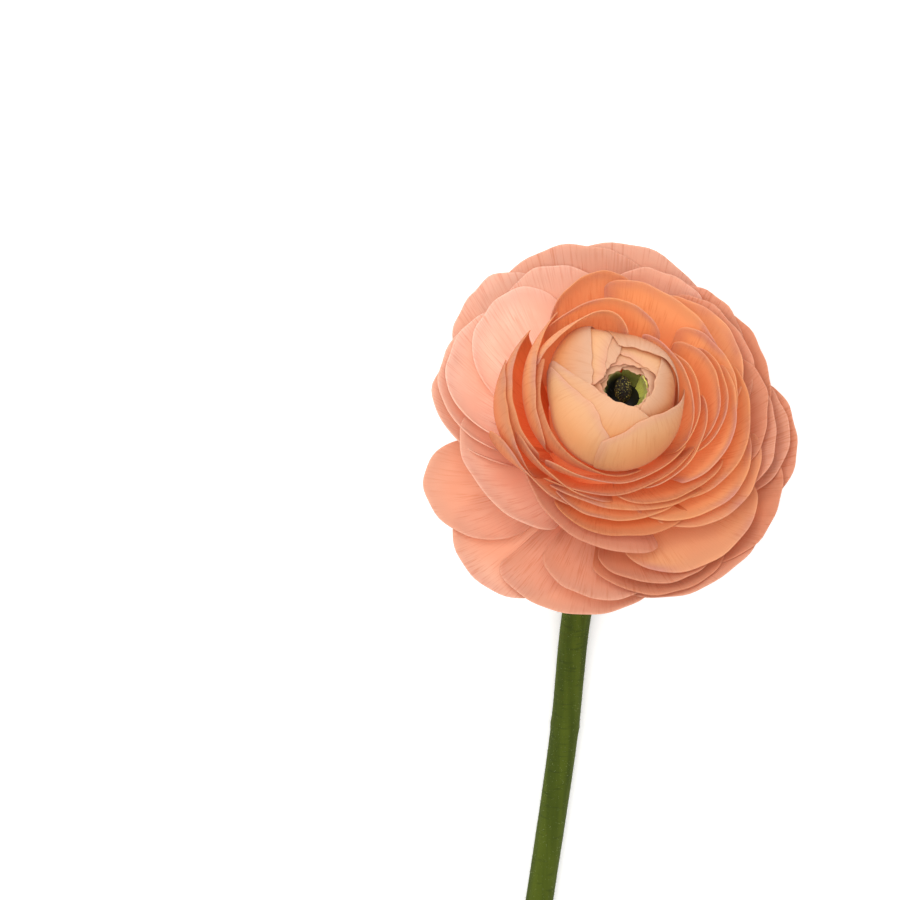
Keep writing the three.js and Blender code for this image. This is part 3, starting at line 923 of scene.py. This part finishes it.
def stem_line():
    """The stem's centre line, with its radius at each point."""
    route = smooth_route(STEM_ROUTE, STEM_STEPS)
    steps = np.linalg.norm(np.diff(route, axis=0), axis=1)
    part = np.concatenate([[0], np.cumsum(steps)]) / steps.sum()
    swell = NECK_SWELL * np.exp(-SWELL_FADE * part) + NECK_TAPER * np.exp(-TAPER_FADE * part)
    swell += RING_SWELL * np.exp(-((part - RING_PLACE) / RING_WIDTH) ** 2)
    mesh = bpy.data.meshes.new("stem_line")
    mesh.from_pydata((route * MM).tolist(), [(i, i + 1) for i in range(len(route) - 1)], [])
    width = mesh.attributes.new("stem_radius", "FLOAT", "POINT")
    width.data.foreach_set("value", (STEM_RADIUS * MM * (1 + swell)).astype(np.float32))
    line = bpy.data.objects.new("stem_line", mesh)
    bpy.context.scene.collection.objects.link(line)
    return line


def green_skin_group():
    """Colour and relief of a green skin: streaks along it, cloudy patches and short nicks across it."""
    group = bpy.data.node_groups.new("green_skin", "ShaderNodeTree")
    for name in ("Dark Color", "Light Color", "Nick Color"):
        group.interface.new_socket(name, in_out="INPUT", socket_type="NodeSocketColor")
    group.interface.new_socket("Streaks", in_out="INPUT", socket_type="NodeSocketVector")
    group.interface.new_socket("Nicks", in_out="INPUT", socket_type="NodeSocketVector")
    group.interface.new_socket("Color", in_out="OUTPUT", socket_type="NodeSocketColor")
    group.interface.new_socket("Height", in_out="OUTPUT", socket_type="NodeSocketFloat")
    given = group.nodes.new("NodeGroupInput").outputs
    result = group.nodes.new("NodeGroupOutput").inputs
    place = add_node(group, "ShaderNodeTexCoord").outputs["Object"]

    def noise(vector, scale):
        stretched = add_node(group, "ShaderNodeVectorMath", {"operation": "MULTIPLY"}, _0=place, _1=vector)
        return add_node(group, "ShaderNodeTexNoise", Vector=stretched.outputs[0], Scale=scale,
                        Detail=3.0).outputs["Fac"]

    streak = noise(given["Streaks"], 1.0)
    patch = noise((1.0, 1.0, 1.0), 130.0)
    nick = noise(given["Nicks"], 1.0)
    color = mix_color(group, smooth_step(group, streak, 0.3, 0.7), given["Dark Color"], given["Light Color"])
    color = mix_color(group, math_node(group, "MULTIPLY", patch, 0.5), color, given["Dark Color"])
    nick_part = smooth_step(group, nick, 0.56, 0.68)
    color = mix_color(group, math_node(group, "MULTIPLY", nick_part, 0.35), color, given["Nick Color"])
    group.links.new(color, result["Color"])
    height = math_node(group, "SUBTRACT", streak, math_node(group, "MULTIPLY", nick_part, 0.8))
    group.links.new(height, result["Height"])
    return group


green_skin = green_skin_group()


def green_material(name, roughness, **settings):
    material = bpy.data.materials.new(name)
    material.use_nodes = True
    tree = material.node_tree
    shader = tree.nodes["Principled BSDF"]
    skin = add_node(tree, "ShaderNodeGroup", {"node_tree": green_skin}, **settings)
    relief = add_node(
        tree, "ShaderNodeBump", Strength=0.35, Distance=0.1 * MM, Height=skin.outputs["Height"])
    tree.links.new(skin.outputs["Color"], shader.inputs["Base Color"])
    tree.links.new(relief.outputs[0], shader.inputs["Normal"])
    shader.inputs["Roughness"].default_value = roughness
    shader.inputs["Specular IOR Level"].default_value = 0.15
    return material


stem_skin = green_material(
    "stem_skin", 0.8, Dark_Color=paint(58, 70, 12), Light_Color=paint(78, 90, 20),
    Nick_Color=paint(34, 46, 10), Streaks=(500.0, 30.0, 500.0), Nicks=(220.0, 1300.0, 220.0))
down_skin = green_material(
    "down_hair", 0.7, Dark_Color=paint(96, 116, 62), Light_Color=paint(160, 172, 120),
    Nick_Color=paint(80, 100, 50), Streaks=(400.0, 400.0, 400.0), Nicks=(90.0, 90.0, 90.0))
stem = grown_piece(
    "stem_stalk", stem_line(), stalk_tree(), Sides=28, Bumps=0.12 * MM, Hair_Length=0.4 * MM,
    Hair_Radius=0.035 * MM, Hairs_per_Area=0.9e6, Seed=7, Skin=stem_skin, Down=down_skin)
# No hair or bump reaches into the table
stem_places = np.zeros(3 * len(stem.data.vertices))
stem.data.vertices.foreach_get("co", stem_places)
stem_places[2::3] = np.maximum(stem_places[2::3], 0)
stem.data.vertices.foreach_set("co", stem_places)
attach(stem, "root")
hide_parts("stem")

# Calyx
# Five short pointed sepals under the bloom, green and downy, bent back from a fleshy collar at the
# top of the stem. The photograph hides them.

CALYX_COLLAR = ((0, -3.4), (4.2, -3.4), (4.6, -2.6), (4.2, -1.9), (0, -1.9))
SEPALS = 5
SEPAL_START = 54
SEPAL_HALF_WIDTH = 17
# Radius and height of a sepal at its foot, its bend and its tip
SEPAL_CURVE = ((3.4, -2.6), (9.5, -5.2), (17.5, -4.5))


def sepal_layer(depth, reach, angle, along):
    return curve_point(*SEPAL_CURVE, along * reach)


sepal_random = np.random.default_rng(53)
sepal_blades = [turned_core(CALYX_COLLAR)]
for i in range(SEPALS):
    reach = 0.9 + 0.1 * sepal_random.random()
    sepal_blades.append(petal_blade(
        sepal_layer, 0, SEPAL_START + i * 360 / SEPALS, SEPAL_HALF_WIDTH, (reach, reach, reach), 0.62,
        waist=1.8, start=0, ruffle=0.25, phase=sepal_random.uniform(0, 6), floor_height=0.4, across=16,
        steps=18, thickness=0.5, tint=sepal_random.random()))
sepal_skin = green_material(
    "sepal_skin", 0.6, Dark_Color=paint(96, 116, 44), Light_Color=paint(150, 158, 78),
    Nick_Color=paint(120, 96, 50), Streaks=(500.0, 500.0, 300.0), Nicks=(200.0, 200.0, 200.0))
calyx = grown_piece(
    "calyx_sepals", rosette("sepals", sepal_blades), down, Hair_Length=0.6 * MM, Hair_Radius=0.035 * MM,
    Hairs_per_Area=2.2e6, Seed=9, Skin=sepal_skin, Down=down_skin)
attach(calyx, "root")
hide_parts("calyx")
